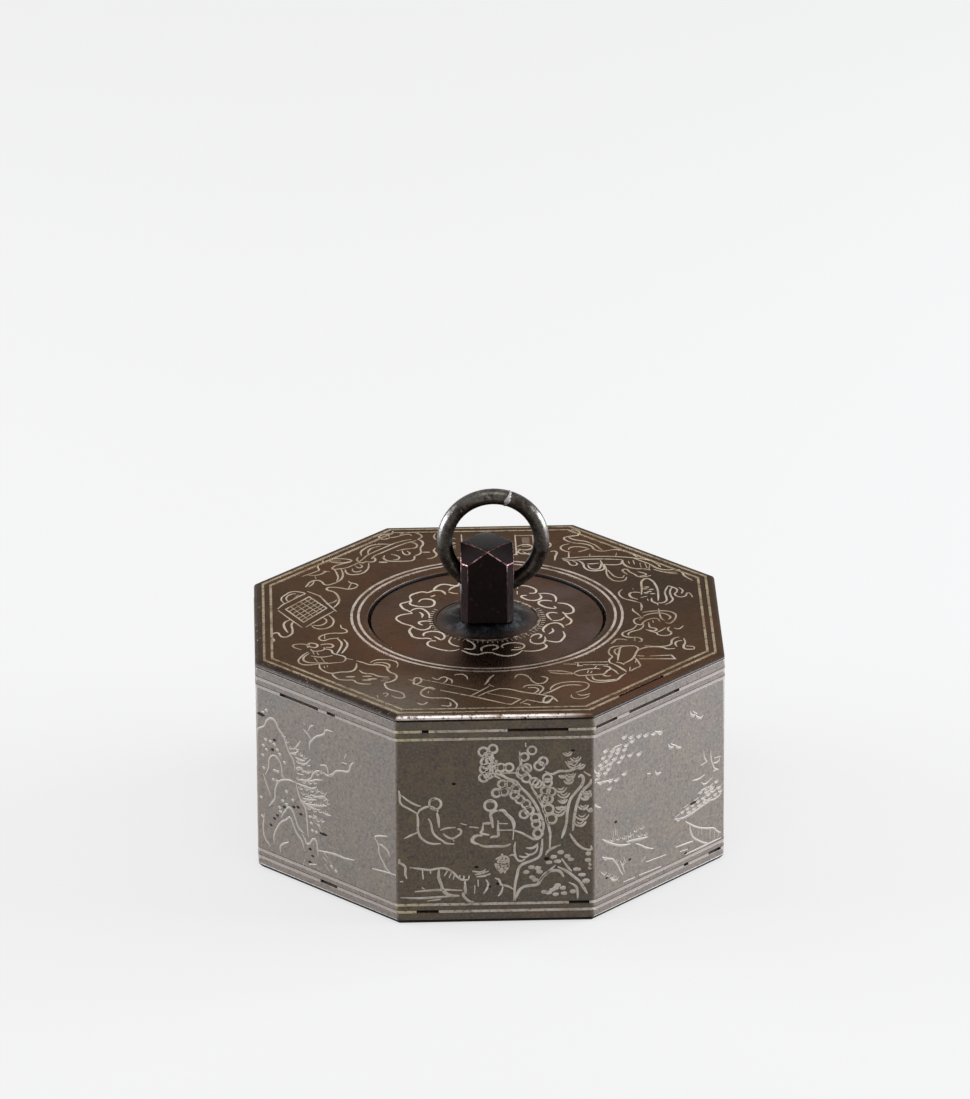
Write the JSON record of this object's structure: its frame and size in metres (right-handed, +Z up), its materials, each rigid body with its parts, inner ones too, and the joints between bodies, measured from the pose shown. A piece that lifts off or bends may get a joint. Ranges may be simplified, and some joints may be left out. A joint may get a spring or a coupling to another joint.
{
  "type": "octagonal lidded box",
  "caption": "Small octagonal bronze box with silver wire inlay, a round drop-in lid and a ring handle through a square post.",
  "frame": {"origin": "middle of the underside, on the surface that the box stands on", "axes": "+Z up through the post, -Y towards the front face, +X to the right of that face"},
  "size_m": [0.054, 0.054, 0.0422],
  "materials": {
    "bronze": "patinated bronze, semi-gloss brown",
    "inner_bronze": "dull brown bronze, unpolished",
    "black_bronze": "near-black patinated bronze, worn at the edges",
    "silver_wire": "inlaid silver wire, lightly tarnished"
  },
  "bodies": {
    "box": {"base_plate": "bronze", "wall_band": "bronze", "top_plate": "bronze", "lid_seat_ring": "inner_bronze", "wall_wire_1_stretch_1": "silver_wire", "wall_wire_1_stretch_2": "silver_wire", "wall_wire_1_stretch_3": "silver_wire", "wall_wire_1_stretch_4": "silver_wire", "wall_wire_2_stretch_1": "silver_wire", "wall_wire_2_stretch_2": "silver_wire", "wall_wire_3": "silver_wire", "wall_wire_4_stretch_1": "silver_wire", "wall_wire_4_stretch_2": "silver_wire", "wall_wire_4_stretch_3": "silver_wire", "wall_wire_4_stretch_4": "silver_wire", "top_wire_outer": "silver_wire", "top_wire_inner": "silver_wire", "mouth_wire_inner": "silver_wire", "mouth_wire_outer": "silver_wire"},
    "lid": {"lid_disc": "bronze", "lid_sleeve": "inner_bronze", "lid_wire": "silver_wire", "knob_post": "black_bronze", "tenon_washer": "inner_bronze"},
    "ring": {"pull_ring": "black_bronze"}
  },
  "joints": [
    {"name": "lid_lift", "type": "slide", "parent": "box", "child": "lid", "axis": [0, 0, 1], "range_m": [0, 0.03]},
    {"name": "ring_swing", "type": "hinge", "parent": "lid", "child": "ring", "pos_m": [0, 0.0007, 0.03065], "axis": [1, 0, 0], "range_deg": [-111, 111]}
  ]
}
